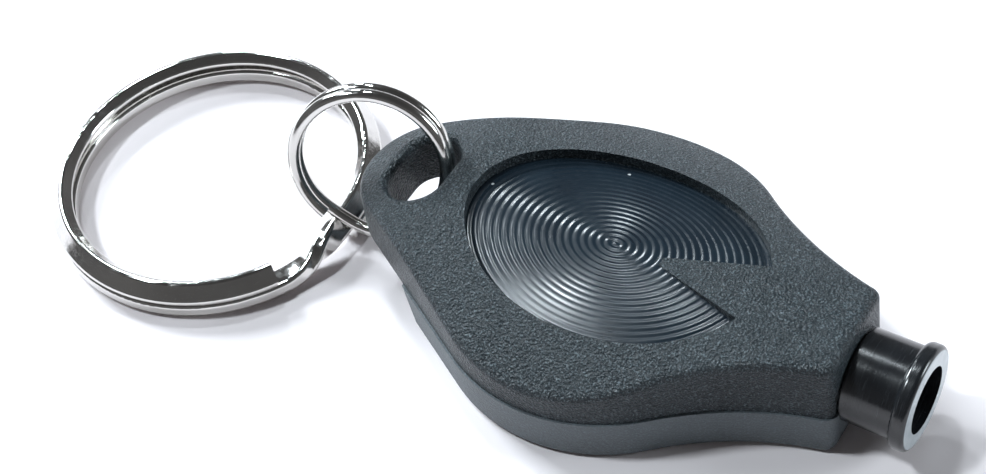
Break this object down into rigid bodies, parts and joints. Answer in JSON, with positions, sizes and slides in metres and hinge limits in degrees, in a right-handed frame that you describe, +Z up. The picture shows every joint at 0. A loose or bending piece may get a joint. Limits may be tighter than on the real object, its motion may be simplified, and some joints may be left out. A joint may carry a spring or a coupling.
{
  "type": "keychain flashlight",
  "caption": "Flat oval pocket light with a thumb pad over coin cells, a lamp in a nose tube, and linked split rings through its tail.",
  "frame": {"origin": "on the flat resting face, under the middle of the thumb pad", "axes": "+X towards the nose tube, +Y to the light's left seen from behind with the pad up, +Z up through the pad"},
  "size_m": [0.0706, 0.0285, 0.0142],
  "materials": {
    "case_plastic": "fine spark-eroded grain, near black with a slight blue-green tinge",
    "base_plastic": "finer, smoother grain than the upper case, a little paler",
    "pad_plastic": "semi-gloss blue-black with concentric oval grooves",
    "tube_plastic": "glossy black with fine turning marks",
    "spring_steel": "rolled spring strip",
    "clear_resin": "water-clear cast epoxy",
    "tinned_lead": "dull tin plate",
    "led_chip": "phosphor-coated chip",
    "bond_gold": "fine gold wire",
    "cell_steel": "drawn stainless steel",
    "gasket_plastic": "moulded insulating ring",
    "electrode_mix": "pressed powder",
    "screw_steel": "zinc-plated steel",
    "nickel_plate": "polished nickel plate"
  },
  "bodies": {
    "case": {"upper_case": "case_plastic", "lower_case": "base_plastic", "nose_tube": "tube_plastic", "led_lens": "clear_resin", "led_anode_lead": "tinned_lead", "led_cathode_lead": "tinned_lead", "led_die": "led_chip", "led_bond_wire": "bond_gold", "upper_cell_can": "cell_steel", "upper_cell_cap": "cell_steel", "upper_cell_gasket": "gasket_plastic", "upper_cell_electrodes": "electrode_mix", "lower_cell_can": "cell_steel", "lower_cell_cap": "cell_steel", "lower_cell_gasket": "gasket_plastic", "lower_cell_electrodes": "electrode_mix", "case_screws": "screw_steel"},
    "pad": {"thumb_pad": "pad_plastic"},
    "leaf": {"contact_leaf": "spring_steel"},
    "small_ring": {"small_split_ring": "nickel_plate"},
    "large_ring": {"large_split_ring": "nickel_plate"}
  },
  "joints": [
    {"name": "pad_press", "type": "slide", "parent": "case", "child": "pad", "axis": [0, 0, -1], "range_m": [0, 0.00035]},
    {"name": "leaf_flex", "type": "hinge", "parent": "case", "child": "leaf", "pos_m": [0.0093, 0, 0.00613], "axis": [0, -1, 0], "range_deg": [0, 2]},
    {"name": "small_ring_swing", "type": "hinge", "parent": "case", "child": "small_ring", "pos_m": [-0.01945, 0, 0.0058], "axis": [0.3747, -0.8704, 0.3195], "range_deg": [-7, 40]},
    {"name": "large_ring_swing", "type": "hinge", "parent": "small_ring", "child": "large_ring", "pos_m": [-0.02447, -0.00371, 0.00639], "axis": [0, 0, 1], "range_deg": [-28, 42]}
  ],
  "couplings": [
    {"joint": "leaf_flex", "follows": "pad_press", "rad_per_m": 97.087}
  ]
}
